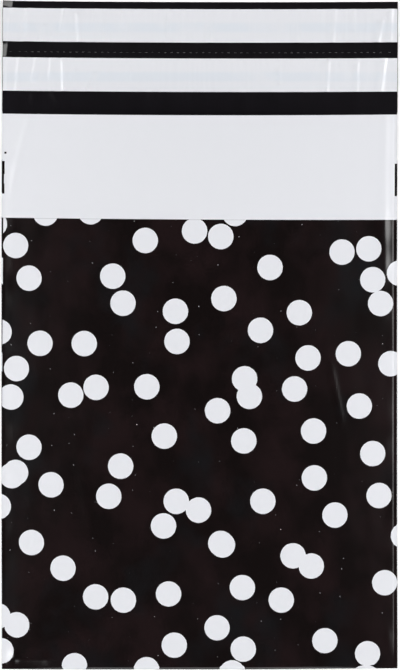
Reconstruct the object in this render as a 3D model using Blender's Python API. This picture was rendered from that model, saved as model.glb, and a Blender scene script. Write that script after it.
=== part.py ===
"""Poly mailer bag with two seals, lying open on its printed front.

One folded sheet of film is the whole bag. From the flap's edge it runs flat
along the floor as flap and front panel, turns up round the bottom fold and
comes back as the back panel, which ends at the mouth. Both sides are welded
and cut by one hot knife, which leaves a fused band with a bead along its edge.
The flap carries two strips of adhesive, each under its own release liner,
with a tear line of slits between them.

Metres, +Z up, +Y towards the flap. The origin is on the floor, under the
middle of the bag.
"""

import math

import bmesh
import bpy
from mathutils import Vector

MM = 0.001

# The sheet, flat sizes
BAG_WIDTH = 250 * MM
POCKET_LENGTH = 350 * MM
FLAP_LENGTH = 70 * MM
FILM_THICKNESS = 0.06 * MM

# The side welds: a fused band, then the bead that the knife leaves
WELD_WIDTH = 2.0 * MM
BEAD_SIZE = 0.3 * MM
BEAD_CHAMFER = 0.08 * MM

# How the pocket stands open: clear height between its two panels
POCKET_HEIGHT = 8.0 * MM
FOLD_HEIGHT = 3.0 * MM
RISE_LENGTH = 110 * MM
PUCKER_PITCH = 28 * MM
PUCKER_DEPTH = 0.7 * MM
PUCKER_REACH = 14 * MM

# The seals on the flap's inner face, measured from the flap's edge
FLAP_MARGIN = 4.5 * MM
LINER_WIDTH = 21 * MM
LINER_THICKNESS = 0.05 * MM
LINER_END_INSET = 0.3 * MM
LINER_LIFT = 0.5 * MM
SEAL_SPACING = 10 * MM
ADHESIVE_WIDTH = 6 * MM
ADHESIVE_DROP = 1.0 * MM
ADHESIVE_THICKNESS = 0.1 * MM
ADHESIVE_END_INSET = 1.0 * MM
SEAT_GAP = 0.3 * MM

# The tear line between the two seals
SLIT_LENGTH = 1.4 * MM
SLIT_PITCH = 4.0 * MM
SLIT_WIDTH = 0.2 * MM
TEAR_LINE_DROP = 6.3 * MM

# The print on the outside
WHITE_BAND = 66 * MM
DOT_DIAMETER = 16 * MM

# How finely the curved film is faceted
COLUMNS = 18
ROWS = 84
FOLD_STEPS = 8
LINER_COLUMNS = 56
LINER_ROWS = 6
SHARP_ANGLE = 35

# Colours, 0 to 255 as the eye sees them
WHITE_FILM = (228, 228, 233)
PRINTED_BLACK = (24, 19, 18)
BLACK_FILM = (22, 20, 23)
LINER_WHITE = (225, 226, 232)
ADHESIVE_CLEAR = (214, 217, 226)

# The dots on the back panel: millimetres across from its middle, then up from
# the fold. Some run off the edges, and the lowest ones go on round the fold.
BACK_DOTS = [
    (-68.5, 288), (-97, 287), (22.5, 287), (-129.5, 280.5), (-3, 276.5),
    (13.5, 273), (-34, 270.5), (-116, 266.5), (107, 265), (90, 263),
    (44.5, 253.5), (126.5, 249.5), (-54.5, 248), (-107.5, 246), (109.5, 245.5),
    (15.5, 233.5), (-48, 231), (114.5, 230), (-15, 226), (63, 224.5),
    (38.5, 214), (-126.5, 212.5), (-14, 206.5), (-100.5, 205.5), (-72.5, 205),
    (94, 198.5), (68.5, 196.5), (121, 192), (-115.5, 189), (28.5, 183),
    (-33, 178.5), (-65, 178), (60, 176.5), (-81, 173), (31.5, 172),
    (-119, 171.5), (101, 166), (11.5, 163.5), (72, 150.5), (-22, 147.5),
    (28, 144), (-107.5, 140), (109.5, 135.5), (-49.5, 128.5), (-116, 124),
    (-118.5, 122), (72.5, 120.5), (-93.5, 116.5), (-57, 109.5), (113.5, 109),
    (-14.5, 106.5), (40, 106), (-127, 102.5), (-0.5, 100.5), (85.5, 97.5),
    (-22.5, 91), (129, 84), (-106, 80), (13.5, 80), (14.5, 79),
    (59, 72), (70.5, 65.5), (-86, 64), (117, 54.5), (27, 52),
    (-19.5, 48), (-65.5, 46), (-48, 44), (51.5, 44), (-127.5, 33.5),
    (-115.5, 28), (11, 26), (79, 18), (-16, 15.5), (27.5, 13),
    (-125.5, 11.5), (106, 9.5), (-79, 2.5), (-33.5, 0), (20.5, -2),
    (105, -5.5),
]

# Places that follow from the sizes; y is measured up from the fold
total_length = POCKET_LENGTH + FLAP_LENGTH
bead_line = BAG_WIDTH / 2 - BEAD_SIZE
weld_line = BAG_WIDTH / 2 - WELD_WIDTH
first_seal_y = total_length - FLAP_MARGIN - LINER_WIDTH / 2
return_seal_y = first_seal_y - LINER_WIDTH - SEAL_SPACING
tear_line_y = first_seal_y - LINER_WIDTH / 2 - TEAR_LINE_DROP
liner_margin = LINER_WIDTH / 2 - ADHESIVE_DROP - ADHESIVE_WIDTH / 2
adhesive_z = FILM_THICKNESS + SEAT_GAP
liner_z = adhesive_z + ADHESIVE_THICKNESS + SEAT_GAP


def clear_scene():
    for item in list(bpy.data.objects):
        bpy.data.objects.remove(item, do_unlink=True)


def linear(rgb):
    """A colour as the eye sees it, as the shader wants it."""
    parts = [value / 255 for value in rgb]
    parts = [p / 12.92 if p <= 0.04045 else ((p + 0.055) / 1.055) ** 2.4 for p in parts]
    return (*parts, 1.0)


def plain_material(name, rgb, roughness):
    material = bpy.data.materials.new(name)
    material.use_nodes = True
    shader = material.node_tree.nodes["Principled BSDF"]
    shader.inputs["Base Color"].default_value = linear(rgb)
    shader.inputs["Roughness"].default_value = roughness
    shader.inputs["Metallic"].default_value = 0.0
    return material


def print_material(name, dots, print_top):
    """Black ink on white film: dots and all above print_top are left bare."""
    material = plain_material(name, PRINTED_BLACK, 0.32)
    nodes = material.node_tree.nodes
    links = material.node_tree.links
    place = nodes.new("ShaderNodeTexCoord").outputs["Object"]
    flat = nodes.new("ShaderNodeVectorMath")
    flat.operation = "MULTIPLY"
    flat.inputs[1].default_value = (1, 1, 0)
    links.new(place, flat.inputs[0])

    nearest = None
    for x, y in dots:
        reach = nodes.new("ShaderNodeVectorMath")
        reach.operation = "DISTANCE"
        reach.inputs[1].default_value = (x, y, 0)
        links.new(flat.outputs[0], reach.inputs[0])
        if nearest is None:
            nearest = reach.outputs["Value"]
            continue
        nearer = nodes.new("ShaderNodeMath")
        nearer.operation = "MINIMUM"
        links.new(nearest, nearer.inputs[0])
        links.new(reach.outputs["Value"], nearer.inputs[1])
        nearest = nearer.outputs[0]

    in_dot = nodes.new("ShaderNodeMath")
    in_dot.operation = "LESS_THAN"
    in_dot.inputs[1].default_value = DOT_DIAMETER / 2
    links.new(nearest, in_dot.inputs[0])
    height = nodes.new("ShaderNodeSeparateXYZ")
    links.new(place, height.inputs[0])
    in_band = nodes.new("ShaderNodeMath")
    in_band.operation = "GREATER_THAN"
    in_band.inputs[1].default_value = print_top
    links.new(height.outputs["Y"], in_band.inputs[0])
    bare = nodes.new("ShaderNodeMath")
    bare.operation = "MAXIMUM"
    links.new(in_dot.outputs[0], bare.inputs[0])
    links.new(in_band.outputs[0], bare.inputs[1])
    ink = nodes.new("ShaderNodeMix")
    ink.data_type = "RGBA"
    ink.inputs[6].default_value = linear(PRINTED_BLACK)
    ink.inputs[7].default_value = linear(WHITE_FILM)
    links.new(bare.outputs[0], ink.inputs[0])
    links.new(ink.outputs[2], nodes["Principled BSDF"].inputs["Base Color"])
    return material


def front_dots():
    """The front's dots: those that cross the fold, then the back's ones turned round."""
    radius = DOT_DIAMETER / 2
    back = [(x * MM, y * MM) for x, y in BACK_DOTS]
    crossing = [(x, -y) for x, y in back if y < radius]
    low = [(-x, y) for x, y in back if 3 * radius < y < total_length / 3]
    turned = [(-x, total_length - y) for x, y in back]
    return crossing + low + turned


def smooth_step(share):
    share = min(max(share, 0.0), 1.0)
    return share * share * (3 - 2 * share)


def clear_height(x, y):
    """How far the back panel stands off the front one.

    Along the fold it springs open by the same height nearly to its ends, and
    further up it is an arch from weld to weld.
    """
    rise = smooth_step(y / RISE_LENGTH)
    share = min(1.0, abs(x) / weld_line)
    arch = 1 - share ** 2
    spring = 1 - share ** 6
    height = FOLD_HEIGHT * (spring + (arch - spring) * rise)
    height += (POCKET_HEIGHT - FOLD_HEIGHT) * rise * arch
    inward = (weld_line - abs(x)) / PUCKER_REACH
    fade = inward * math.exp(1 - inward) * rise
    turn = math.tau * y / PUCKER_PITCH + (2.0 if x > 0 else 0.0)
    wave = 0.7 * math.sin(turn) + 0.3 * math.sin(1.7 * turn)
    return height + min(PUCKER_DEPTH, height / 2) * fade * wave


def add_face(bm, corners, slot):
    """One face; corners that fall together at the end of a fold count once."""
    corners = list(dict.fromkeys(corners))
    if len(corners) > 2:
        bm.faces.new(corners).material_index = slot


def panel_columns():
    return [-weld_line * math.cos(math.pi * i / COLUMNS) for i in range(COLUMNS + 1)]


def fold_arc(bm, x, skin, steps):
    """Half a turn round the bottom fold, from the back panel to the front one.

    skin is the film's thickness for the outer face and 0 for the inner one.
    """
    clear = clear_height(x, 0)
    centre = clear / 2 + FILM_THICKNESS
    radius = clear / 2 + skin
    if radius < FILM_THICKNESS / 100:
        return [bm.verts.new((x, centre, centre))] * (steps + 1)
    arc = []
    for k in range(steps + 1):
        turn = math.pi * k / steps
        arc.append(bm.verts.new((x, centre - radius * math.sin(turn), centre + radius * math.cos(turn))))
    return arc


def bead_ring(bm, side, y, film_top):
    """The bead's section at y: its inner side first, at the film's top."""
    inner = side * bead_line
    outer = side * BAG_WIDTH / 2
    cut_in = side * BEAD_CHAMFER
    heights = [film_top, BEAD_SIZE - BEAD_CHAMFER]
    ring = [bm.verts.new((inner, y, z)) for z in heights]
    ring.append(bm.verts.new((inner + cut_in, y, BEAD_SIZE)))
    ring.append(bm.verts.new((outer - cut_in, y, BEAD_SIZE)))
    ring.append(bm.verts.new((outer, y, BEAD_SIZE - BEAD_CHAMFER)))
    ring.append(bm.verts.new((outer, y, BEAD_CHAMFER)))
    ring.append(bm.verts.new((outer - cut_in, y, 0)))
    ring.append(bm.verts.new((inner, y, 0)))
    return ring


def build_film():
    """The folded and welded sheet as one closed skin."""
    inside, back, front = 0, 1, 2
    bm = bmesh.new()
    columns = panel_columns()
    last = len(columns) - 1
    film = FILM_THICKNESS

    # The fold, then the rows of the back panel up to the mouth
    outer_arcs = [fold_arc(bm, x, film, FOLD_STEPS) for x in columns]
    inner_arcs = [fold_arc(bm, x, 0, FOLD_STEPS) for x in columns]
    outer_rows = [[arc[0] for arc in outer_arcs]]
    inner_rows = [[arc[0] for arc in inner_arcs]]
    for j in range(1, ROWS + 1):
        y = POCKET_LENGTH * j / ROWS
        outer_row = []
        inner_row = []
        for x in columns:
            clear = clear_height(x, y)
            outer_row.append(bm.verts.new((x, y, 2 * film + clear)))
            inner_row.append(bm.verts.new((x, y, film + clear)))
        outer_rows.append(outer_row)
        inner_rows.append(inner_row)
    for j in range(ROWS):
        for i in range(last):
            low, high = outer_rows[j], outer_rows[j + 1]
            add_face(bm, [low[i], low[i + 1], high[i + 1], high[i]], back)
            low, high = inner_rows[j], inner_rows[j + 1]
            add_face(bm, [low[i], high[i], high[i + 1], low[i + 1]], inside)
    for k in range(FOLD_STEPS):
        slot = back if k < FOLD_STEPS / 2 else front
        for i in range(last):
            here, there = outer_arcs[i], outer_arcs[i + 1]
            add_face(bm, [here[k], here[k + 1], there[k + 1], there[k]], slot)
            here, there = inner_arcs[i], inner_arcs[i + 1]
            add_face(bm, [here[k], there[k], there[k + 1], here[k + 1]], inside)
    for i in range(last):
        add_face(bm, [outer_rows[ROWS][i], outer_rows[ROWS][i + 1],
                      inner_rows[ROWS][i + 1], inner_rows[ROWS][i]], inside)

    # The welds and beads down both sides, and the flap's two long edges
    floor_side = {}
    under_side = {}
    flap_corner = {}
    for side, i in ((-1, 0), (1, last)):
        start = bead_ring(bm, side, film, 2 * film)
        mouth = bead_ring(bm, side, POCKET_LENGTH, 2 * film)
        end = bead_ring(bm, side, total_length, film)
        flap_foot = bm.verts.new((side * bead_line, POCKET_LENGTH, film))
        weld_rows = [row[i] for row in outer_rows]
        add_face(bm, weld_rows + [mouth[0], start[0]], back)
        add_face(bm, [weld_rows[-1], mouth[0], flap_foot, inner_rows[ROWS][i]], inside)
        add_face(bm, [start[0], start[1], mouth[1], mouth[0]], back)
        add_face(bm, [flap_foot, mouth[0], mouth[1], end[1], end[0]], back)
        for k in range(1, 6):
            slot = back if k < 4 else front
            add_face(bm, [start[k], start[k + 1], mouth[k + 1], mouth[k]], slot)
            add_face(bm, [mouth[k], mouth[k + 1], end[k + 1], end[k]], slot)
        add_face(bm, start, back)
        add_face(bm, end, back)
        # The weld's own stretch of the fold, from the pocket's corner to the bead
        arc = outer_arcs[i]
        centre = Vector((side * bead_line, film, film))
        tip = [start[0]]
        for k in range(1, FOLD_STEPS):
            turn = math.pi * k / FOLD_STEPS
            away = Vector((0, -math.sin(turn), math.cos(turn))) * film
            tip.append(bm.verts.new(centre + away))
        tip.append(start[7])
        for k in range(FOLD_STEPS):
            add_face(bm, [arc[k], arc[k + 1], tip[k + 1], tip[k]], front)
        add_face(bm, tip, front)
        floor_side[side] = [row[i] for row in inner_rows] + [flap_foot, end[0]]
        under_side[side] = [arc[-1], start[7], start[6], mouth[6], end[6], end[7]]
        flap_corner[side] = (end[0], end[7])

    # The floor of the pocket with the flap's inner face, then the underside
    fold_inner = [arc[-1] for arc in inner_arcs]
    fold_outer = [arc[-1] for arc in outer_arcs]
    add_face(bm, fold_inner + floor_side[1][1:] + floor_side[-1][:0:-1], inside)
    add_face(bm, fold_outer + under_side[1][1:] + under_side[-1][:0:-1], front)
    (left_top, left_low), (right_top, right_low) = flap_corner[-1], flap_corner[1]
    add_face(bm, [left_top, right_top, right_low, left_low], front)

    bmesh.ops.recalc_face_normals(bm, faces=bm.faces)
    return finish_mesh(bm, "bag_film")


def finish_mesh(bm, name):
    mesh = bpy.data.meshes.new(name)
    bm.to_mesh(mesh)
    bm.free()
    mesh.shade_smooth()
    mesh.set_sharp_from_angle(angle=math.radians(SHARP_ANGLE))
    return mesh


def add_object(name, mesh, parent, location, materials):
    item = bpy.data.objects.new(name, mesh)
    bpy.context.scene.collection.objects.link(item)
    item.parent = parent
    item.location = location
    for material in materials:
        mesh.materials.append(material)
    return item


def slit_cutter(parent):
    """A row of thin blocks that pierce the flap along the tear line."""
    half_row = bead_line - SLIT_PITCH / 2 - SLIT_LENGTH / 2
    count = 2 * int(half_row / SLIT_PITCH) + 1
    bm = bmesh.new()
    for k in range(count):
        x = (k - (count - 1) / 2) * SLIT_PITCH
        slit = bmesh.ops.create_cube(bm, size=1)["verts"]
        bmesh.ops.scale(bm, verts=slit, vec=(SLIT_LENGTH, SLIT_WIDTH, 6 * FILM_THICKNESS))
        bmesh.ops.translate(bm, verts=slit, vec=(x, 0, 0))
    mesh = bpy.data.meshes.new("tear_line_slits")
    bm.to_mesh(mesh)
    bm.free()
    cutter = add_object("tear_line_slits", mesh, parent, (0, tear_line_y, FILM_THICKNESS / 2), [])
    cutter.hide_render = True
    cutter.display_type = "WIRE"
    return cutter


def adhesive_mesh(name):
    """A hot-melt ribbon with its two long upper edges drawn in."""
    bm = bmesh.new()
    ribbon = bmesh.ops.create_cube(bm, size=1)["verts"]
    length = BAG_WIDTH - 2 * ADHESIVE_END_INSET
    bmesh.ops.scale(bm, verts=ribbon, vec=(length, ADHESIVE_WIDTH, ADHESIVE_THICKNESS))
    bmesh.ops.translate(bm, verts=ribbon, vec=(0, 0, ADHESIVE_THICKNESS / 2))
    top_edges = [e for e in bm.edges
                 if all(v.co.z > ADHESIVE_THICKNESS / 2 for v in e.verts)
                 and abs(e.verts[0].co.x - e.verts[1].co.x) > ADHESIVE_WIDTH]
    bmesh.ops.bevel(bm, geom=top_edges, offset=ADHESIVE_THICKNESS / 2, affect="EDGES",
                    segments=2, profile=0.5, material=-1)
    return finish_mesh(bm, name)


def liner_lift(x, y, phase):
    """The liner's free edges cockle up between the places where they stay down."""
    from_strip = abs(y + ADHESIVE_DROP) - ADHESIVE_WIDTH / 2
    free = smooth_step(from_strip / liner_margin)
    along = math.tau * x / BAG_WIDTH
    side = 1.3 if y > 0 else 0.0
    wave = math.sin(5 * along + phase + side) + math.sin(8.6 * along + 2 * phase - side)
    return LINER_LIFT * free * max(0.0, wave / 2) ** 2


def liner_mesh(name, phase):
    bm = bmesh.new()
    bmesh.ops.create_grid(bm, x_segments=LINER_COLUMNS, y_segments=LINER_ROWS, size=1)
    length = BAG_WIDTH - 2 * LINER_END_INSET
    bmesh.ops.scale(bm, verts=bm.verts, vec=(length / 2, LINER_WIDTH / 2, 1))
    for vert in bm.verts:
        vert.co.z = liner_lift(vert.co.x, vert.co.y, phase)
    return finish_mesh(bm, name)


def add_seal(name, y, phase, root, adhesive_material, liner_material):
    """One strip of adhesive on the flap, and its liner on top, centred on y."""
    add_object(name + "_adhesive", adhesive_mesh(name + "_adhesive"), root,
               (0, y - ADHESIVE_DROP, adhesive_z), [adhesive_material])
    liner = add_object(name + "_liner", liner_mesh(name + "_liner", phase), root,
                       (0, y, liner_z), [liner_material])
    skin = liner.modifiers.new("thickness", "SOLIDIFY")
    skin.thickness = LINER_THICKNESS
    skin.offset = 1.0
    return liner


def build_bag():
    clear_scene()
    root = bpy.data.objects.new("mailer_frame", None)
    root.location = (0, -total_length / 2, 0)
    bpy.context.scene.collection.objects.link(root)

    back_dots = [(x * MM, y * MM) for x, y in BACK_DOTS]
    print_top = POCKET_LENGTH - WHITE_BAND
    film = add_object("bag_film", build_film(), root, (0, 0, 0), [
        plain_material("black_inner_film", BLACK_FILM, 0.3),
        print_material("back_print", back_dots, print_top),
        print_material("front_print", front_dots(), 2 * total_length),
    ])
    cut = film.modifiers.new("tear_line", "BOOLEAN")
    cut.operation = "DIFFERENCE"
    cut.solver = "EXACT"
    cut.object = slit_cutter(root)

    adhesive = plain_material("hot_melt_adhesive", ADHESIVE_CLEAR, 0.45)
    liner = plain_material("release_liner", LINER_WHITE, 0.22)
    add_seal("first_seal", first_seal_y, 0.4, root, adhesive, liner)
    add_seal("return_seal", return_seal_y, 2.9, root, adhesive, liner)


build_bag()
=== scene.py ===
# Poly mailer bag with two seals, lying flat and open, seen from straight above
import math

import bmesh
import bpy
from mathutils import Matrix, Vector, noise


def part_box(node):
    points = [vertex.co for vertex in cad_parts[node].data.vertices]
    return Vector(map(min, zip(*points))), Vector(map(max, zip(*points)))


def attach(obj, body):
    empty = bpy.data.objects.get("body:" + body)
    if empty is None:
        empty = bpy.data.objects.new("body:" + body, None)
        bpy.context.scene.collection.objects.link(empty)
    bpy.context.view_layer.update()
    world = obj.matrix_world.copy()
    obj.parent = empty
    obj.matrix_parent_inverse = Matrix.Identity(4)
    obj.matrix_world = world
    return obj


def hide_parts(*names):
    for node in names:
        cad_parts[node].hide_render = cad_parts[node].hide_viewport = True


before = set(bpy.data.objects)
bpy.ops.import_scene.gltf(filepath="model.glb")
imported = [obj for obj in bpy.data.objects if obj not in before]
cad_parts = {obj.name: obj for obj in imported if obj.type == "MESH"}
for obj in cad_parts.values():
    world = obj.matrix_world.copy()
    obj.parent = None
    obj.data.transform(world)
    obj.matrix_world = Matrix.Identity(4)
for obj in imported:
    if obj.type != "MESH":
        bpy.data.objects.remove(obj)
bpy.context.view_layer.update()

mm = 0.001
filmLow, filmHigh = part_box("bag_film")
foldY = filmLow.y                     # the bottom fold; the flap's edge is at the other end
halfWidth = (filmHigh.x - filmLow.x) / 2

# what the whole bag is made to
bag = {
    "pocket": 350 * mm,               # fold to mouth
    "film": 0.06 * mm,
    "weld": 2.0 * mm,                 # fused band down each side
    "foldHeight": 3.0 * mm,           # the film springs open this far along the bottom fold
    "rise": 110 * mm,                 # from the fold to where the pocket is at its fullest
}
bag["length"] = filmHigh.y - filmLow.y
bag["height"] = filmHigh.z - 2 * bag["film"]
weldLine = halfWidth - bag["weld"]


def step01(share):
    share = min(max(share, 0.0), 1.0)
    return share * share * (3 - 2 * share)


def bell(offset, width):
    return math.exp(-(offset / width) ** 2)


def sheetNoise(x, y, sizeX, sizeY, layer):
    # smooth noise with bumps of sizeX by sizeY, from -1 to 1; another layer is another pattern
    return noise.noise(Vector((x / sizeX, y / sizeY, 17.3 * layer)))


def linear(hexColour):
    # sRGB hex to the linear values that a shader takes
    parts = [int(hexColour[i:i + 2], 16) / 255 for i in (1, 3, 5)]
    parts = [p / 12.92 if p <= 0.04045 else ((p + 0.055) / 1.055) ** 2.4 for p in parts]
    return (*parts, 1.0)


def addNode(tree, kind, inputs=None, **settings):
    # one node with its settings; an input is a value, a socket, or a node whose first output it takes
    made = tree.nodes.new("ShaderNode" + kind)
    for name, value in settings.items():
        setattr(made, name, value)
    for name, value in (inputs or {}).items():
        if isinstance(value, bpy.types.Node):
            value = value.outputs[0]
        if isinstance(value, bpy.types.NodeSocket):
            tree.links.new(value, made.inputs[name])
        else:
            made.inputs[name].default_value = value
    return made


def newMaterial(name):
    material = bpy.data.materials.new(name)
    material.use_nodes = True
    return material, material.node_tree, material.node_tree.nodes["Principled BSDF"]


def addPiece(name, bm, materials, replaced):
    for face in bm.faces:
        face.smooth = True
    for edge in bm.edges:
        edge.smooth = not edge.is_boundary      # a cut edge stays crisp once the sheet has its gauge
    mesh = bpy.data.meshes.new(name)
    bm.to_mesh(mesh)
    bm.free()
    for material in materials:
        mesh.materials.append(material)
    piece = bpy.data.objects.new(name, mesh)
    bpy.context.scene.collection.objects.link(piece)
    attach(piece, "root")
    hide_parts(*replaced)
    return piece


def thicken(piece, thickness, offset, inside=0):
    # gives a sheet its real gauge; the other side takes the material that lies inside slots on
    skin = piece.modifiers.new("gauge", "SOLIDIFY")
    skin.thickness = thickness
    skin.offset = offset
    skin.material_offset = inside
    skin.material_offset_rim = inside


# The shape that everything on the bag follows

lie = {
    "shoulder": 0.16 * mm,            # the panel starts up steeply beside the right weld,
    "shoulderRun": 0.5 * mm,          # within this little,
    "shoulderStart": 20 * mm,         # and fully so from here up
    "puckerPitch": 28 * mm,
    "puckerDepth": 0.30 * mm,
    "puckerReach": 14 * mm,
    "puckerPatch": (60 * mm, 60 * mm),  # some stretches of the welds pucker more than others
    "cockle": 0.22 * mm,              # gentle waves all over the back panel,
    "cockleSize": (26 * mm, 55 * mm),
    "fineCockle": 0.4,                # with finer ones on them, this share as high
    "fineCockleSize": (9 * mm, 30 * mm),
    "edgeFade": 6 * mm,               # waves and creases die out towards the welds and the fold
    "flapCockle": 0.10 * mm,
    "flapWave": (34 * mm, 60 * mm),
    "fineFlapWave": (7 * mm, 24 * mm),
    "bowMiddle": -0.75 * mm,          # the mouth and the flap dip a little in the middle
    "bowEnds": 0.55 * mm,
    "bowLean": -0.30 * mm,
    "bowStart": 285 * mm,             # the bow sets in here, up from the fold,
    "bowRun": 60 * mm,                # and is full this much further up
    "drawIn": 0.0055,                 # the open pocket draws both sides in by this share,
    "drawDown": 0.0052,               # and the mouth towards the fold
    "topDrift": 0.55 * mm,            # both ends of the bag lie a touch to the right
    "bottomDrift": 0.25 * mm,
    "shift": 0.1 * mm,                # and all of it this far to the left
    "foldLean": 0.5 * mm,             # the fold's right end lies a little high
    "leanReach": 60 * mm,
    "curlAngle": 24.5,                # degrees; the flap's left end stands up off the table
    "curlReach": 7.0 * mm,            # how far in, at the flap's edge
    "curlShape": 1.2,                 # it widens a little faster towards that edge
    "curlStart": 5 * mm,              # where it begins, up from the mouth
    "stiffened": 0.45,                # the liners keep the flap this much flatter where they lie,
    "stiffRim": 1.2 * mm,             # with a soft change at their edges
    "creaseEnd": 0.4,                 # a crease dies out over this share of its length at each end
}

# soft creases, mm across from the middle and up from the fold: from, to, half width, height;
# the last ones lie on the flap
creases = [
    (-108, 347, -118, 307, 2.2, 0.36),
    (84, 186, 89, 161, 1.8, 0.36),
    (117.5, 346, 117, 290, 3.6, 0.34),
    (115.5, 284, 117, 256, 4.5, 0.44),
    (-127, 8.2, -100, 7.5, 3.6, 1.25),
    (-127, 8.2, -117, 7.5, 3.0, 0.70),
    (-125, 3.4, -121.5, 3.4, 1.3, 0.60),
    (-67, 1, -66, 6, 1.3, 0.48),
    (-40, 250, -34, 190, 4.0, 0.16),
    (52, 262, 60, 215, 4.0, 0.14),
    (-78, 150, -70, 96, 3.6, 0.16),
    (8, 120, 22, 70, 4.0, 0.14),
    (120, 22, 122, 10, 2.4, 0.30),
    (-60, 335, -52, 300, 3.0, 0.12),
    (70, 340, 66, 305, 3.0, 0.12),
    (-105, 362, -106, 355, 1.4, 0.34),
    (-93, 363, -87, 353, 2.0, 0.44),
    (62, 361, 66, 354, 2.0, 0.40),
    (105, 360, 111, 356, 1.6, 0.34),
]


def creaseLift(x, y):
    lift = 0.0
    for x1, y1, x2, y2, width, height in creases:
        start = Vector((x1, y1)) * mm
        run = Vector((x2, y2)) * mm - start
        away = Vector((x, y)) - start
        share = away.dot(run) / run.length_squared
        if -lie["creaseEnd"] < share < 1 + lie["creaseEnd"]:
            across = (away - run * share).length
            if across < 4 * width * mm:
                fade = step01(1 + min(share, 1 - share) / lie["creaseEnd"])
                lift += height * mm * fade * bell(across, width * mm)
    return lift


def clearHeight(x, y):
    # between the two panels: sprung open along the fold, and an arch from weld to weld above it
    rise = step01(y / bag["rise"])
    share = min(1.0, abs(x) / weldLine)
    arch, spring = 1 - share ** 2, 1 - share ** 6
    height = bag["foldHeight"] * (spring + (arch - spring) * rise)
    height += (bag["height"] - bag["foldHeight"]) * rise * arch
    fromWeld = max(0.0, weldLine - abs(x))
    inward = fromWeld / lie["puckerReach"]
    fade = inward * math.exp(1 - inward) * rise
    # two waves of uneven pitch, out of step between the left weld and the right
    turn = math.tau * y / lie["puckerPitch"] + (2.0 if x > 0 else 0.0)
    wave = 0.7 * math.sin(turn) + 0.3 * math.sin(1.7 * turn)
    depth = min(lie["puckerDepth"], height / 2)
    pucker = depth * fade * wave * (0.6 + 0.6 * sheetNoise(x, y, *lie["puckerPatch"], 1))
    shoulder = lie["shoulder"] * (1 - math.exp(-fromWeld / lie["shoulderRun"]))
    shoulder *= step01(y / lie["shoulderStart"]) * step01(0.5 + x / halfWidth)
    inside = step01(min(fromWeld, y) / lie["edgeFade"])
    cockle = sheetNoise(x, y, *lie["cockleSize"], 2)
    cockle += lie["fineCockle"] * sheetNoise(x, y, *lie["fineCockleSize"], 3)
    return height + shoulder + pucker + inside * (lie["cockle"] * cockle + creaseLift(x, y))


def settle(x, y):
    # the small ways in which the bag lies out of true
    across = x / halfWidth
    along = y / bag["length"]
    upper = step01((y - lie["bowStart"]) / lie["bowRun"])
    bow = lie["bowMiddle"] + lie["bowEnds"] * across ** 2 + lie["bowLean"] * across
    # the drifts are full at the ends of the bag and run out before its middle
    drift = lie["topDrift"] * step01((along - 0.6) / 0.4) + lie["bottomDrift"] * step01(1 - 4 * along)
    lean = lie["foldLean"] * step01(1 - y / lie["leanReach"]) * step01((across - 0.2) / 0.6)
    return x * (1 - lie["drawIn"]) + drift - lie["shift"], y + upper * bow + lean


def place(x, y, z):
    # from the bag's own sizes to the frame
    settledX, settledY = settle(x, y)
    return Vector((settledX, foldY + settledY, z))


# where the liners lie along the bag, up from the fold
linerSpans = []
for corners in (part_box("first_seal_liner"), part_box("return_seal_liner")):
    linerSpans.append([corner.y - foldY for corner in corners])


def underLiner(y):
    # 1 where a liner lies on the flap, and 0 on the bare film between them
    return max(step01(min(y - low, high - y) / lie["stiffRim"] + 0.5) for low, high in linerSpans)


def flapPlace(x, y, above, ease=0.0):
    # a point that lies above the flap's underside, which curls up off the table at its left end;
    # what isn't stuck down all over eases into the curl instead of turning sharply
    share = max(0.0, y - bag["pocket"] - lie["curlStart"])
    share /= bag["length"] - bag["pocket"] - lie["curlStart"]
    standing = lie["curlReach"] * share ** lie["curlShape"] - (x + halfWidth)
    if ease:
        standing = ease * math.log1p(math.exp(min(standing / ease, 40)))    # 40 keeps exp in range
    standing = max(0.0, standing)
    angle = math.radians(lie["curlAngle"]) * (1 - lie["stiffened"] * underLiner(y))
    # close to the mouth the flap lies still, as it does where it leaves the front panel
    wave = 1 + sheetNoise(x, y, *lie["flapWave"], 5) + 0.5 * sheetNoise(x, y, *lie["fineFlapWave"], 6)
    rest = step01(share * 5) * lie["flapCockle"] * max(0.0, wave) + creaseLift(x, y) * step01(share * 20)
    return place(x + (1 - math.cos(angle)) * standing, y, above + rest + math.sin(angle) * standing)


# The film: one sheet, folded and welded

film = {
    "sideZone": 9 * mm,               # finer cells beside the welds
    "sideColumns": 18,
    "middleColumns": 174,
    "flapRows": 58,
    "frontRows": 28,
    "foldRows": 8,
    "backRows": 130,
    "slitPitch": 3,                   # columns from one slit of the tear line to the next
    "firstSlit": 9,                   # the column, in from each side, where the first slit starts,
    "firstSlitColumns": 3,            # and how many of the finer ones it takes
    "slitLine": 38.2 * mm,            # tear line, up from the mouth
    "slitClear": 1.0 * mm,            # no other row of cells lies this close to it
    "slitGap": 0.07 * mm,             # a knife cut has next to no width, and no two gape alike
    "gapePitch": 5 * mm,
}


def acrossStations():
    # places across the sheet, from weld to weld
    zone, fine, middle = film["sideZone"], film["sideColumns"], film["middleColumns"]
    inner = 2 * (halfWidth - zone)
    left = [zone * i / fine - halfWidth for i in range(fine)]
    centre = [zone - halfWidth + inner * i / middle for i in range(middle + 1)]
    return left + centre + [-x for x in reversed(left)]


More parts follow.
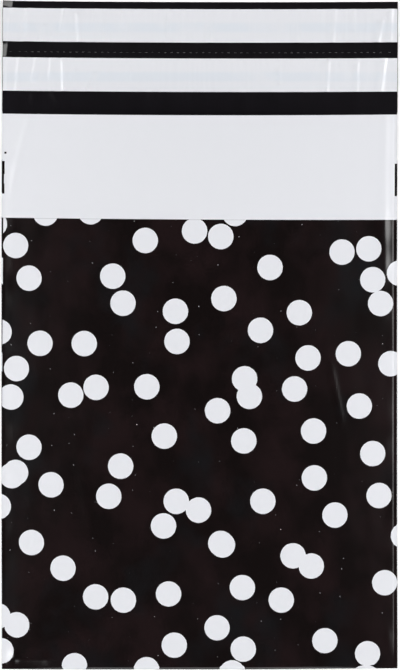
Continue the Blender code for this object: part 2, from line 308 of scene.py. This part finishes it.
def alongStations():
    # distances along the flat sheet, from the flap's edge over the fold to the mouth
    flap = bag["length"] - bag["pocket"]
    slit = flap - film["slitLine"]
    rows = [flap * i / film["flapRows"] for i in range(film["flapRows"])]
    rows = [s for s in rows if abs(s - slit) > film["slitClear"]]
    rows += [slit - film["slitGap"] / 2, slit + film["slitGap"] / 2]
    rows += [flap + bag["pocket"] * i / film["frontRows"] for i in range(film["frontRows"])]
    turn = math.pi * (bag["foldHeight"] / 2 + bag["film"])
    rows += [bag["length"] + turn * i / film["foldRows"] for i in range(film["foldRows"])]
    start = bag["length"] + turn
    rows += [start + bag["pocket"] * i / film["backRows"] for i in range(film["backRows"] + 1)]
    rows.sort()
    slitRow = sum(s < slit for s in rows) - 1
    return rows, slitRow, start


def foldPlace(x, s, start):
    # where a point of the flat sheet goes when the sheet is folded; its outer face
    if s <= bag["length"]:
        return flapPlace(x, bag["length"] - s, 0)
    clear = clearHeight(x, 0)
    radius = clear / 2 + bag["film"]
    if s < start:
        turn = math.pi * (s - bag["length"]) / (start - bag["length"])
        return place(x, radius - radius * math.sin(turn), radius - radius * math.cos(turn))
    y = s - start
    drawn = y * (1 - lie["drawDown"] * (1 - 0.5 * (x / halfWidth) ** 2))
    return place(x, max(drawn, radius), 2 * bag["film"] + clearHeight(x, y))


def buildFilm(materials):
    across = acrossStations()
    along, slitRow, start = alongStations()
    columns, rows = len(across) - 1, len(along) - 1
    bm = bmesh.new()
    bmesh.ops.create_grid(bm, x_segments=columns, y_segments=rows, size=0.5)
    sheet = bm.loops.layers.uv.new("sheet")
    cell = {v: (round((v.co.x + 0.5) * columns), round((v.co.y + 0.5) * rows)) for v in bm.verts}
    cuts = []
    for face in bm.faces:
        column = min(cell[v][0] for v in face.verts)
        row = min(cell[v][1] for v in face.verts)
        isBack = along[row] > (bag["length"] + start) / 2
        face.material_index = 0 if isBack else 1
        for loop in face.loops:
            x, s = across[cell[loop.vert][0]], along[cell[loop.vert][1]]
            loop[sheet].uv = (x, s - start if isBack else bag["length"] - s)
        inner = column - film["sideColumns"]
        inMiddle = 0 <= inner < film["middleColumns"] and inner % film["slitPitch"] == 1
        fromFirst = min(column, columns - 1 - column) - film["firstSlit"]
        if row == slitRow and (inMiddle or 0 <= fromFirst < film["firstSlitColumns"]):
            cuts.append(face)
    for vert, (column, row) in cell.items():
        x, s = across[column], along[row]
        if row in (slitRow, slitRow + 1):
            gape = film["slitGap"] / 2 * sheetNoise(x, 0, film["gapePitch"], 1, 9)
            s += gape if row > slitRow else -gape
        vert.co = foldPlace(x, s, start)
    bmesh.ops.delete(bm, geom=cuts, context="FACES")
    piece = addPiece("mailer_film", bm, materials, ["bag_film"])
    thicken(piece, bag["film"], -1.0, inside=2)


# The bead that the hot knife leaves where it welds and cuts the sides

bead = {"radius": 0.11 * mm, "sides": 8, "rings": 150, "unevenness": 0.3, "swellPitch": 7 * mm}


def buildBeads(materials):
    bm = bmesh.new()
    sheet = bm.loops.layers.uv.new("sheet")
    for side in (-1, 1):
        tube = bmesh.ops.create_cone(bm, segments=bead["sides"], radius1=bead["radius"],
                                     radius2=bead["radius"], depth=bag["length"], cap_ends=True)
        verts = tube["verts"]
        bmesh.ops.rotate(bm, verts=verts, matrix=Matrix.Rotation(-math.pi / 2, 3, "X"))
        bmesh.ops.translate(bm, verts=verts, vec=(0, bag["length"] / 2, 0))
        long = {e for v in verts for e in v.link_edges if abs(e.verts[0].co.y - e.verts[1].co.y) > mm}
        bmesh.ops.subdivide_edges(bm, edges=list(long), cuts=bead["rings"])
        for vert in [v for v in bm.verts if not v.tag]:
            vert.tag = True
            swell = 1 + bead["unevenness"] * sheetNoise(side, vert.co.y, 1, bead["swellPitch"], 8)
            vert.co.x = side * (halfWidth - bead["radius"]) + vert.co.x * swell
            vert.co.z = bead["radius"] + vert.co.z * swell
    for face in bm.faces:
        face.material_index = 0 if face.calc_center_median().y < bag["pocket"] else 1
        for loop in face.loops:
            loop[sheet].uv = (loop.vert.co.x, loop.vert.co.y)
    for vert in bm.verts:
        vert.co = flapPlace(*vert.co)
    bmesh.ops.recalc_face_normals(bm, faces=bm.faces)
    addPiece("side_weld_beads", bm, materials, ["bag_film"])


# The two seals: a strip of adhesive, and a release liner that lies on it

seals = {
    "adhesiveWidth": 6 * mm,
    "adhesiveDrop": 1.0 * mm,         # the strip lies a little below the liner's middle
    "adhesiveThickness": 0.1 * mm,
    "adhesiveInset": 1.0 * mm,        # its ends stop this short of the bag's sides
    "adhesiveColumns": 160,
    "adhesiveRows": 4,
    "linerThickness": 0.05 * mm,
    "linerInset": 0.3 * mm,
    "linerColumns": 900,
    "linerRows": 20,
    "clear": 0.03 * mm,               # between film and adhesive, and twice that under the liner
    "ease": 1.6 * mm,                 # how softly a liner follows the flap's curl
    "edgeLift": 0.28 * mm,            # its long edges aren't stuck down
    "edgeWave": (24 * mm, 60 * mm),
    "shiver": 0.08 * mm,              # small unevenness along all of it
    "shiverSize": (2.6 * mm, 30 * mm),
    "crest": 0.7,                     # a wrinkle's crest, in half widths from the flank that shines
    "farFlank": 2.2,                  # its other flank is this much wider
    "wrinkleEnd": 0.25,               # it dies out over this share of the liner's half width,
    "heldDown": 0.3,                  # and is this much lower over the adhesive
    "heldReach": 0.6,                 # in widths of the adhesive
}

# wrinkles across each liner: place of the flank that shines, in mm along it, lean, half width
# (negative where that flank faces left), height, and the stretch of the liner's width that it
# crosses, from -1 at the lower edge to 1
linerWrinkles = {
    "first_seal": [
        (-121, 0.8, -2.2, 0.86, -1.0, 1.0), (-110, 1.2, -2.6, 1.04, -1.0, -0.1),
        (-112, 2.0, -2.4, 0.86, 0.1, 1.0), (-99.8, 1.0, -1.8, 0.66, -1.0, -0.1),
        (-88, 1.5, -1.5, 0.60, -0.2, 1.0), (-78, -0.6, -1.6, 0.66, -1.0, 0.6),
        (-68.5, 1.2, -1.4, 0.54, -0.1, 1.0), (-61, 0.3, -1.0, 0.36, -1.0, 0.2),
        (-50, 0.8, -1.4, 0.52, 0.0, 0.9), (-21.5, 0.4, -1.0, 0.33, -0.6, 0.5),
        (7, -0.3, 1.2, 0.38, -1.0, 0.0), (62, -0.5, 1.2, 0.40, -1.0, 0.0),
        (85.5, 0.6, 1.5, 0.57, -1.0, 1.0), (98, -0.4, 1.2, 0.38, -0.2, 1.0),
        (115.5, 2.2, 1.5, 0.66, -1.0, 0.3), (121.5, 0.4, 1.5, 0.66, -1.0, 1.0),
    ],
    "return_seal": [
        (-122.5, 0.4, -1.2, 0.50, -1.0, 1.0), (-116, 1.0, -1.5, 0.56, -1.0, 1.0),
        (-106, 1.8, -1.6, 0.68, -0.3, 1.0), (-95.5, 1.0, -1.3, 0.52, -0.1, 1.0),
        (-87.3, -0.4, -1.5, 0.66, -1.0, 0.8), (-79.5, 0.3, -1.0, 0.32, -0.4, 0.2),
        (-69, 2.4, -1.5, 0.60, -1.0, 0.0), (-44, 0.2, -1.1, 0.38, -0.3, 0.5),
        (51, 0.2, 1.2, 0.42, -0.4, 0.4), (81.5, 0.5, 1.5, 0.60, -1.0, 0.8),
        (100, 0.3, 1.3, 0.50, -0.9, 0.7), (116.5, 1.4, 2.0, 0.86, -0.9, 1.0),
    ],
}


def linerLift(name, x, down, half):
    # x along the liner, down its distance from the liner's middle line
    share = down / half
    end = seals["wrinkleEnd"]
    lift = 0.0
    for at, lean, width, height, low, high in linerWrinkles[name]:
        offset = x - (at + lean * share - seals["crest"] * width) * mm
        run = abs(width) * mm * (1.0 if offset * width > 0 else seals["farFlank"])
        if abs(offset) < 3 * run:
            reach = step01((share - low) / end + 1) * step01((high - share) / end + 1)
            lift += height * mm * reach * bell(offset, run)
    stuck = bell(down + seals["adhesiveDrop"], seals["adhesiveWidth"] * seals["heldReach"])
    layer = 11 if name == "first_seal" else 12
    free = abs(share) ** 3 * (0.5 + 0.5 * sheetNoise(x, down, *seals["edgeWave"], layer))
    shiver = seals["shiver"] * sheetNoise(x, down, *seals["shiverSize"], layer + 2)
    return lift * (1 - seals["heldDown"] * stuck) + seals["edgeLift"] * free + shiver


def stripGrid(low, high, columns, rows, liftAt, ease=0.0):
    # a flat strip between two corners, in the bag's own sizes, lifted off the flap by a rule
    bm = bmesh.new()
    bmesh.ops.create_grid(bm, x_segments=columns, y_segments=rows, size=0.5)
    for vert in bm.verts:
        x = (low.x + high.x) / 2 + (high.x - low.x) * vert.co.x
        y = (low.y + high.y) / 2 + (high.y - low.y) * vert.co.y
        vert.co = flapPlace(x, y, liftAt(x, y), ease)
    return bm


def buildSeal(name, adhesiveMaterial, linerMaterial):
    cadLinerLow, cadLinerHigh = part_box(name + "_liner")
    middle = (cadLinerLow.y + cadLinerHigh.y) / 2 - foldY
    half = (cadLinerHigh.y - cadLinerLow.y) / 2
    base = bag["film"] + seals["clear"]

    ribbon = seals["adhesiveWidth"] / 2
    ribbonX = halfWidth - seals["adhesiveInset"]
    ribbonY = middle - seals["adhesiveDrop"]
    bm = stripGrid(Vector((-ribbonX, ribbonY - ribbon)), Vector((ribbonX, ribbonY + ribbon)),
                   seals["adhesiveColumns"], seals["adhesiveRows"], lambda x, y: base)
    adhesive = addPiece(name + "_glue", bm, [adhesiveMaterial], [name + "_adhesive"])
    thicken(adhesive, seals["adhesiveThickness"], 1.0)

    over = base + seals["adhesiveThickness"] + 2 * seals["clear"]
    linerX = halfWidth - seals["linerInset"]
    bm = stripGrid(Vector((-linerX, middle - half)), Vector((linerX, middle + half)),
                   seals["linerColumns"], seals["linerRows"],
                   lambda x, y: over + max(0.0, linerLift(name, x, y - middle, half)), seals["ease"])
    liner = addPiece(name + "_tape", bm, [linerMaterial], [name + "_liner"])
    thicken(liner, seals["linerThickness"], 1.0)


# Materials

ink = {
    "film": "#e5e6eb",                # white side of the film, seen bare in dots and band
    "black": "#100a0a",
    "warmBlack": "#1c1213",           # two tints that the ink dries to where it lies thinner
    "coolBlack": "#141416",
    "warmPatch": (34.0, 1.2),         # every pattern: size in mm, and how far it is drawn out
    "warmRange": (0.42, 0.62),        # what part of the noise shows as this tint
    "coolPatch": (38.0, 1.2),
    "coolRange": (0.54, 0.74),
    "pressLines": (2.6, 20.0),
    "fineGrain": (0.9, 2.5),
    "inkRoughness": 0.19,
    "filmRoughness": 0.30,
    "filmIor": 1.51,
    "meltedRoughness": 0.65,          # the welds' outer edge, dulled by the knife
    "meltedFrom": 0.5,                # the dulling starts this far in, mm, and is full at this far
    "meltedFull": 0.2,
    "dot": 8.0,                       # radius, mm
    "ragged": 0.35,                   # how uneven a dot's edge is, mm
    "raggedSize": 1.2,
    "bandMiddle": 283.7,              # lower edge of the white band, mm above the fold
    "bandLean": -0.7,
    "bandBow": 0.15,
    "bandEdgeShadow": 0.3,                   # painted shadow line: bare film is this much darker, for as many mm below that edge
    "frontShows": 1.05,               # widest strip of the front's print past the left weld, mm
    "frontShowsFrom": 120.0,          # and where it narrows to nothing, up from the fold
    "speckCell": 13.0,                # pinholes: one to a patch of this many mm,
    "speckMissing": 0.45,             # with none in this share of the patches
    "speckRadius": 0.27,
    "speckWhite": 0.8,                # the clearest of them is this bare
}

# dots, mm across from the middle and up from the fold
backDots = [
    (-68.5, 288.5), (-97, 287.5), (22.5, 287.5), (-129.5, 280.5), (-3, 276.5),
    (13.5, 273), (-34, 270.5), (-116, 267), (107, 265), (90, 263),
    (44.5, 253.5), (126.5, 249.5), (-54.5, 248), (-107.5, 246.5), (109.5, 245.5),
    (15.5, 234), (-48, 231), (114.5, 230.5), (-15, 226), (63, 225),
    (38.5, 214), (-126.5, 212.5), (-14, 207), (-100.5, 205.5), (-72.5, 205.5),
    (94, 199), (68.5, 196.5), (121, 192.5), (-115.5, 189.5), (28.5, 183.5),
    (-33, 178.5), (-65, 178), (60, 177), (-81, 173), (31.5, 172.5),
    (-119, 171.5), (101, 166), (11.5, 163.5), (72, 150.5), (-22, 147.5),
    (28, 144.5), (-107.5, 140), (109.5, 136), (-49.5, 128.5), (-116, 124),
    (-118.5, 122), (72.5, 121), (-93.5, 116.5), (-57, 109.5), (113.5, 109.5),
    (-14.5, 106.5), (40, 106.5), (-127, 102.5), (-0.5, 101), (85.5, 97.5),
    (-22.5, 91), (129, 84), (-106, 80), (13.5, 80), (14.5, 79),
    (59, 72), (70.5, 65.5), (-86, 64), (117, 54.5), (27, 52),
    (-19.5, 48), (-65.5, 46), (-48, 44), (51.5, 44), (-127.5, 33.5),
    (-115.5, 28), (11, 26.5), (79, 18), (-16, 15.5), (27.5, 13),
    (-125.5, 11.5), (106, 9.5), (-79, 2.5), (-33.5, 0), (20.5, -2),
    (105, -6),
]

# little black marks in the white band: left, right, low and high edge in mm
inkMarks = [
    (-125.5, -123.3, 299.7, 306.0),   # the two halves of the eye mark, the left one worn thin
    (-125.5, -123.6, 306.0, 312.0),
    (-125.5, -123.2, 312.0, 320.2),
    (123.4, 125.5, 298.1, 318.8),
    (-123.4, -122.1, 324.8, 326.0),   # a fleck of ink
]
# where the front's own dots show past the left weld: low and high edge in mm
frontDotMarks = [(242.5, 259.2), (187.4, 199.2)]


def frontDots():
    # dots that cross the fold go on; the others are the back's, mirrored low down and turned round above
    crossing = [(x, -y) for x, y in backDots if y < ink["dot"]]
    low = [(-x, y) for x, y in backDots if 3 * ink["dot"] < y < bag["length"] / mm / 3]
    turned = [(-x, bag["length"] / mm - y) for x, y in backDots]
    return crossing + low + turned


def sheetPlace(tree):
    # a point's place on the flat sheet, in millimetres
    uv = addNode(tree, "UVMap", uv_map="sheet")
    return addNode(tree, "VectorMath", {0: uv, 1: (1000, 1000, 0)}, operation="MULTIPLY")


def grain(tree, place, size, stretch=1.0, detail=2.0, layer=0.0):
    # noise with patches of size mm, drawn out stretch times along the bag
    scaled = addNode(tree, "VectorMath", {0: place, 1: (1 / size, 1 / size / stretch, 1),
                                          2: (0, 0, 7.1 * layer)}, operation="MULTIPLY_ADD")
    return addNode(tree, "TexNoise", {"Vector": scaled, "Scale": 1.0, "Detail": detail, "Roughness": 0.55})


def between(tree, value, low, high):
    # 1 where the value lies between the two limits
    middle = addNode(tree, "Math", {0: value, 1: (low + high) / 2}, operation="SUBTRACT")
    away = addNode(tree, "Math", {0: middle}, operation="ABSOLUTE")
    return addNode(tree, "Math", {0: away, 1: (high - low) / 2}, operation="LESS_THAN")


def dotMask(tree, place, dots):
    # 1 inside a dot; the plate's edge is a little ragged
    nearest = None
    for x, y in dots:
        reach = addNode(tree, "VectorMath", {0: place, 1: (x, y, 0)}, operation="DISTANCE").outputs["Value"]
        if nearest:
            nearest = addNode(tree, "Math", {0: nearest, 1: reach}, operation="MINIMUM")
        else:
            nearest = reach
    unevenness = grain(tree, place, ink["raggedSize"])
    reach = addNode(tree, "Math", {0: unevenness, 1: ink["ragged"], 2: nearest}, operation="MULTIPLY_ADD")
    return addNode(tree, "Math", {0: reach, 1: ink["dot"] + ink["ragged"] / 2}, operation="LESS_THAN")


def pinholeMask(tree, place):
    # tiny bare spots in the ink: the middles of scattered cells, in about half of them
    cells = addNode(tree, "VectorMath", {0: place, "Scale": 1 / ink["speckCell"]}, operation="SCALE")
    holes = addNode(tree, "TexVoronoi", {"Vector": cells, "Scale": 1.0}, voronoi_dimensions="2D")
    pick = addNode(tree, "SeparateColor", {0: holes.outputs["Color"]})
    chosen = addNode(tree, "Math", {0: pick, 1: ink["speckMissing"]}, operation="SUBTRACT", use_clamp=True)
    size = addNode(tree, "Math", {0: chosen, 1: 2 * ink["speckRadius"] / ink["speckCell"]},
                   operation="MULTIPLY")
    hole = addNode(tree, "Math", {0: holes, 1: size}, operation="LESS_THAN")
    faint = addNode(tree, "Math", {0: pick.outputs[1], 1: ink["speckWhite"]}, operation="MULTIPLY")
    return addNode(tree, "Math", {0: hole, 1: faint}, operation="MULTIPLY")


def backPlate(tree, across, up, bare):
    # what the back has besides its dots: the white band with a painted shadow line along its lower edge,
    # the marks, and a strip of the front's print
    edge = addNode(tree, "Math", {0: across, 1: ink["bandLean"] * mm / halfWidth, 2: ink["bandMiddle"]},
                   operation="MULTIPLY_ADD")
    square = addNode(tree, "Math", {0: across, 1: across}, operation="MULTIPLY")
    edge = addNode(tree, "Math", {0: square, 1: ink["bandBow"] * (mm / halfWidth) ** 2, 2: edge},
                   operation="MULTIPLY_ADD")
    above = addNode(tree, "Math", {0: up, 1: edge}, operation="SUBTRACT")
    band = addNode(tree, "Math", {0: above, 1: 0.0}, operation="GREATER_THAN")
    bare = addNode(tree, "Math", {0: bare, 1: band}, operation="MAXIMUM")
    # painted shadow: a thin darker line on the bare film just below the band's edge
    edgeShadow = addNode(tree, "Math", {0: between(tree, above, -ink["bandEdgeShadow"], 0.0), 1: -ink["bandEdgeShadow"], 2: 1.0},
                  operation="MULTIPLY_ADD")
    bare = addNode(tree, "Math", {0: bare, 1: edgeShadow}, operation="MULTIPLY")

    rate = ink["frontShows"] / (ink["bandMiddle"] - ink["frontShowsFrom"])
    limit = addNode(tree, "Math", {0: up, 1: rate, 2: -halfWidth / mm - rate * ink["frontShowsFrom"]},
                    operation="MULTIPLY_ADD")
    strip = addNode(tree, "Math", {0: across, 1: limit}, operation="LESS_THAN")
    inked = addNode(tree, "Math", {0: strip, 1: band}, operation="SUBTRACT", use_clamp=True)
    for low, high in frontDotMarks:
        onDot = between(tree, up, low, high)
        inked = addNode(tree, "Math", {0: inked, 1: onDot}, operation="SUBTRACT", use_clamp=True)
        spot = addNode(tree, "Math", {0: onDot, 1: strip}, operation="MULTIPLY")
        bare = addNode(tree, "Math", {0: bare, 1: spot}, operation="MAXIMUM")
    for left, right, low, high in inkMarks:
        mark = addNode(tree, "Math", {0: between(tree, across, left, right),
                                      1: between(tree, up, low, high)}, operation="MULTIPLY")
        inked = addNode(tree, "Math", {0: inked, 1: mark}, operation="MAXIMUM")
    return addNode(tree, "Math", {0: bare, 1: inked}, operation="SUBTRACT", use_clamp=True)


def meltedEdge(tree, across):
    # roughness of the outermost fraction of a millimetre, which the hot knife left dull; 0 elsewhere
    out = addNode(tree, "Math", {0: across}, operation="ABSOLUTE")
    return addNode(tree, "MapRange", {"Value": out, "From Min": halfWidth / mm - ink["meltedFrom"],
                                      "From Max": halfWidth / mm - ink["meltedFull"], "To Min": 0.0,
                                      "To Max": ink["meltedRoughness"]})


def printedFilm(name, dots, isBack):
    # co-extruded polyethylene, white outside, with one flexo-printed black: a satin skin, faint
    # warm and cool patches along the way it ran through the press, and small pinholes in the ink
    material, tree, shader = newMaterial(name)
    place = sheetPlace(tree)
    parts = addNode(tree, "SeparateXYZ", {0: place})
    across, up = parts.outputs[0], parts.outputs[1]
    bare = addNode(tree, "Math", {0: dotMask(tree, place, dots), 1: pinholeMask(tree, place)},
                   operation="MAXIMUM")
    if isBack:
        bare = backPlate(tree, across, up, bare)

    warm = addNode(tree, "MapRange", {"Value": grain(tree, place, *ink["warmPatch"], 3.0),
                                      "From Min": ink["warmRange"][0], "From Max": ink["warmRange"][1]})
    cool = addNode(tree, "MapRange", {"Value": grain(tree, place, *ink["coolPatch"], 3.0, layer=3),
                                      "From Min": ink["coolRange"][0], "From Max": ink["coolRange"][1]})
    tint = addNode(tree, "Mix", {0: warm, 6: linear(ink["black"]), 7: linear(ink["warmBlack"])},
                   data_type="RGBA")
    tint = addNode(tree, "Mix", {0: cool, 6: tint.outputs[2], 7: linear(ink["coolBlack"])},
                   data_type="RGBA")
    colour = addNode(tree, "Mix", {0: bare, 6: tint.outputs[2], 7: linear(ink["film"])},
                     data_type="RGBA")
    gloss = addNode(tree, "MapRange", {"Value": bare, "To Min": ink["inkRoughness"],
                                       "To Max": ink["filmRoughness"]})
    gloss = addNode(tree, "Math", {0: gloss, 1: meltedEdge(tree, across)}, operation="MAXIMUM")
    relief = addNode(tree, "Math", {0: grain(tree, place, *ink["pressLines"]), 1: 0.8,
                                    2: grain(tree, place, *ink["fineGrain"])}, operation="MULTIPLY_ADD")
    bump = addNode(tree, "Bump", {"Height": relief, "Strength": 0.25, "Distance": 0.02 * mm})
    tree.links.new(colour.outputs[2], shader.inputs["Base Color"])
    tree.links.new(gloss.outputs[0], shader.inputs["Roughness"])
    tree.links.new(bump.outputs[0], shader.inputs["Normal"])
    shader.inputs["IOR"].default_value = ink["filmIor"]
    return material


innerFace = {
    "dark": "#0e0c0f",                # carbon black is never quite even
    "pale": "#171519",
    "patch": (9.0, 3.0),
    "dieLines": (3.0, 16.0),
    "fineGrain": (1.1, 2.0),
    "roughness": 0.22,
}


def insideFilm():
    # the same film's inner face: carbon-black polyethylene straight off the die, a little
    # cooler than the ink, with fine die lines along the bag
    material, tree, shader = newMaterial("black_inner_film")
    place = sheetPlace(tree)
    parts = addNode(tree, "SeparateXYZ", {0: place})
    shade = addNode(tree, "Mix", {0: grain(tree, place, *innerFace["patch"]), 6: linear(innerFace["dark"]),
                                  7: linear(innerFace["pale"])}, data_type="RGBA")
    gloss = addNode(tree, "Math", {0: meltedEdge(tree, parts), 1: innerFace["roughness"]},
                    operation="MAXIMUM")
    relief = addNode(tree, "Math", {0: grain(tree, place, *innerFace["fineGrain"]),
                                    1: grain(tree, place, *innerFace["dieLines"])}, operation="ADD")
    bump = addNode(tree, "Bump", {"Height": relief, "Strength": 0.3, "Distance": 0.02 * mm})
    tree.links.new(shade.outputs[2], shader.inputs["Base Color"])
    tree.links.new(gloss.outputs[0], shader.inputs["Roughness"])
    tree.links.new(bump.outputs[0], shader.inputs["Normal"])
    shader.inputs["IOR"].default_value = ink["filmIor"]
    return material


tape = {
    "white": "#e8e9ee",
    "overGlue": "#e2e6ed",            # bluer where the adhesive lies under it,
    "wetInside": 0.6,                 # from this many mm inside the strip's edge
    "wetOutside": 1.4,                # to this many outside it,
    "wetEdge": (14.0, 0.4),           # which wanders along the strip
    "wetPatch": (26.0, 1.0),          # and it isn't wet everywhere:
    "wetRange": (0.34, 0.52),
    "wetLeast": 0.35,                 # here and there only this much
    "ripple": (2.2, 5.0),
    "fineGrain": (0.7, 1.0),
    "roughness": 0.18,
    "ior": 1.54,
}


def objectPlace(tree):
    # a point's place in the frame, in millimetres
    coords = addNode(tree, "TexCoord").outputs["Object"]
    return addNode(tree, "VectorMath", {0: coords, "Scale": 1000}, operation="SCALE")


def linerFilm(name, bandY):
    # siliconised high-density polyethylene film: thin, white, slippery and glossy, a touch
    # bluer along the strip where it lies wet on the adhesive
    material, tree, shader = newMaterial(name)
    place = objectPlace(tree)
    up = addNode(tree, "SeparateXYZ", {0: place}).outputs[1]
    off = addNode(tree, "Math", {0: up, 1: bandY / mm}, operation="SUBTRACT")
    off = addNode(tree, "Math", {0: off}, operation="ABSOLUTE")
    edge = addNode(tree, "Math", {0: grain(tree, place, *tape["wetEdge"]), 1: 0.8, 2: off},
                   operation="MULTIPLY_ADD")
    half = seals["adhesiveWidth"] / 2 / mm
    wet = addNode(tree, "MapRange", {"Value": edge, "From Min": half - tape["wetInside"],
                                     "From Max": half + tape["wetOutside"], "To Min": 1.0, "To Max": 0.0})
    patchy = addNode(tree, "MapRange", {"Value": grain(tree, place, *tape["wetPatch"]),
                                        "From Min": tape["wetRange"][0], "From Max": tape["wetRange"][1],
                                        "To Min": tape["wetLeast"]})
    wet = addNode(tree, "Math", {0: wet, 1: patchy}, operation="MULTIPLY")
    tone = addNode(tree, "Mix", {0: wet, 6: linear(tape["white"]), 7: linear(tape["overGlue"])},
                   data_type="RGBA")
    relief = addNode(tree, "Math", {0: grain(tree, place, *tape["ripple"]),
                                    1: grain(tree, place, *tape["fineGrain"])}, operation="ADD")
    bump = addNode(tree, "Bump", {"Height": relief, "Strength": 0.3, "Distance": 0.03 * mm})
    tree.links.new(tone.outputs[2], shader.inputs["Base Color"])
    tree.links.new(bump.outputs[0], shader.inputs["Normal"])
    shader.inputs["Roughness"].default_value = tape["roughness"]
    shader.inputs["IOR"].default_value = tape["ior"]
    return material


melt = {"colour": "#cfd3dc", "ripple": (2.0, 0.3), "roughness": 0.2, "ior": 1.48}


def hotMelt():
    # clear synthetic-rubber hot melt, laid as a ribbon: wet-looking, pale and slightly uneven
    material, tree, shader = newMaterial("hot_melt_adhesive")
    bump = addNode(tree, "Bump", {"Height": grain(tree, objectPlace(tree), *melt["ripple"]),
                                  "Strength": 0.4, "Distance": 0.05 * mm})
    tree.links.new(bump.outputs[0], shader.inputs["Normal"])
    shader.inputs["Base Color"].default_value = linear(melt["colour"])
    shader.inputs["Roughness"].default_value = melt["roughness"]
    shader.inputs["IOR"].default_value = melt["ior"]
    return material


# The studio: a pale floor, soft boxes that fade towards their rims, a dark ceiling over a pale horizon

studio = {
    "floorSize": 6.0,
    "floorDrop": 0.3 * mm,
    "floorColour": "#f4f4f4",
    "floorGlow": 0.22,                # for camera, glossy and transmission rays: the floor shows white
    "boxDistance": 1.5,
    "boxFade": (0.25, 0.5),           # in sides from its middle: full up to here, dark from here
    "ceiling": 0.03,
    "horizon": 0.95,
    "skyRange": (0.30, 0.55),         # height in the sky where the horizon ends and the ceiling starts
    "lens": 135.0,
    "sensor": 36.0,
    "frameHeight": 421.2 * mm,        # what the picture's 670 px span on the bag
    "aside": 0.35 * mm,               # the bag lies this far left of the picture's middle
}
# each box: compass angle and angle from straight up in degrees, side in metres, power in watts
softBoxes = {
    "left_soft_box": (180, 52, 1.3, 33.0),
    "right_soft_box": (0, 52, 1.3, 33.0),
    "front_fill_box": (270, 48, 0.8, 7.0),
}


def buildFloor():
    bm = bmesh.new()
    bmesh.ops.create_grid(bm, x_segments=1, y_segments=1, size=studio["floorSize"] / 2)
    mesh = bpy.data.meshes.new("floor")
    bm.to_mesh(mesh)
    bm.free()
    floor = bpy.data.objects.new("floor", mesh)
    floor.location.z = -studio["floorDrop"]
    bpy.context.scene.collection.objects.link(floor)
    material, tree, shader = newMaterial("pale_floor")
    rays = addNode(tree, "LightPath")
    seen = addNode(tree, "Math", {0: rays.outputs["Is Camera Ray"], 1: rays.outputs["Is Glossy Ray"]},
                   operation="ADD")
    seen = addNode(tree, "Math", {0: seen, 1: rays.outputs["Is Transmission Ray"]},
                   operation="ADD", use_clamp=True)
    glow = addNode(tree, "Math", {0: seen, 1: studio["floorGlow"]}, operation="MULTIPLY")
    tree.links.new(glow.outputs[0], shader.inputs["Emission Strength"])
    shader.inputs["Emission Color"].default_value = (1, 1, 1, 1)
    shader.inputs["Base Color"].default_value = linear(studio["floorColour"])
    shader.inputs["Roughness"].default_value = 0.9
    shader.inputs["Specular IOR Level"].default_value = 0.0
    mesh.materials.append(material)


def buildWorld():
    world = bpy.data.worlds.new("studio")
    bpy.context.scene.world = world
    world.use_nodes = True
    tree = world.node_tree
    background = tree.nodes["Background"]
    height = addNode(tree, "SeparateXYZ", {0: addNode(tree, "TexCoord").outputs["Generated"]})
    start, end = studio["skyRange"]
    level = addNode(tree, "MapRange", {"Value": height.outputs[2], "From Min": start, "From Max": end,
                                       "To Min": studio["horizon"], "To Max": studio["ceiling"]},
                    interpolation_type="SMOOTHSTEP")
    tree.links.new(level.outputs[0], background.inputs["Strength"])
    background.inputs["Color"].default_value = (1, 1, 1, 1)


def buildSoftBox(name, compass, fromZenith, side, power):
    tilt = math.radians(fromZenith)
    turn = math.radians(compass)
    out = Vector((math.sin(tilt) * math.cos(turn), math.sin(tilt) * math.sin(turn), math.cos(tilt)))
    lamp = bpy.data.lights.new(name, "AREA")
    lamp.shape = "SQUARE"
    lamp.size = side
    lamp.energy = power
    lamp.use_nodes = True
    tree = lamp.node_tree
    spot = addNode(tree, "NewGeometry").outputs["Parametric"]
    reach = addNode(tree, "VectorMath", {0: spot, 1: (0.5, 0.5, 0)}, operation="DISTANCE")
    start, end = studio["boxFade"]
    fade = addNode(tree, "MapRange", {"Value": reach.outputs["Value"], "From Min": start, "From Max": end,
                                      "To Min": 1.0, "To Max": 0.0}, interpolation_type="SMOOTHSTEP")
    tree.links.new(fade.outputs[0], tree.nodes["Emission"].inputs["Strength"])
    box = bpy.data.objects.new(name, lamp)
    box.location = out * studio["boxDistance"]
    box.rotation_euler = out.to_track_quat("Z", "Y").to_euler()
    bpy.context.scene.collection.objects.link(box)


def buildCamera():
    data = bpy.data.cameras.new("camera")
    data.lens = studio["lens"]
    data.sensor_fit = "VERTICAL"
    data.sensor_height = studio["sensor"]
    camera = bpy.data.objects.new("camera", data)
    distance = studio["frameHeight"] * studio["lens"] / studio["sensor"]
    camera.location = (studio["aside"], 0, distance)
    bpy.context.scene.collection.objects.link(camera)
    bpy.context.scene.camera = camera


buildCamera()
buildFloor()
buildWorld()
for boxName, setting in softBoxes.items():
    buildSoftBox(boxName, *setting)
print("studio ready")

backPrint = printedFilm("back_print", backDots, True)
frontPrint = printedFilm("front_print", frontDots(), False)
blackInside = insideFilm()
buildFilm([backPrint, frontPrint, blackInside, blackInside])
buildBeads([backPrint, blackInside])
print("film folded and welded")

glue = hotMelt()
for sealName in ("first_seal", "return_seal"):
    linerLow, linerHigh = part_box(sealName + "_liner")
    bandMiddle = (linerLow.y + linerHigh.y) / 2 - seals["adhesiveDrop"] + lie["bowMiddle"]
    buildSeal(sealName, glue, linerFilm(sealName + "_liner_film", bandMiddle))
print("seals laid on the flap")

bpy.context.scene.view_settings.view_transform = "Standard"
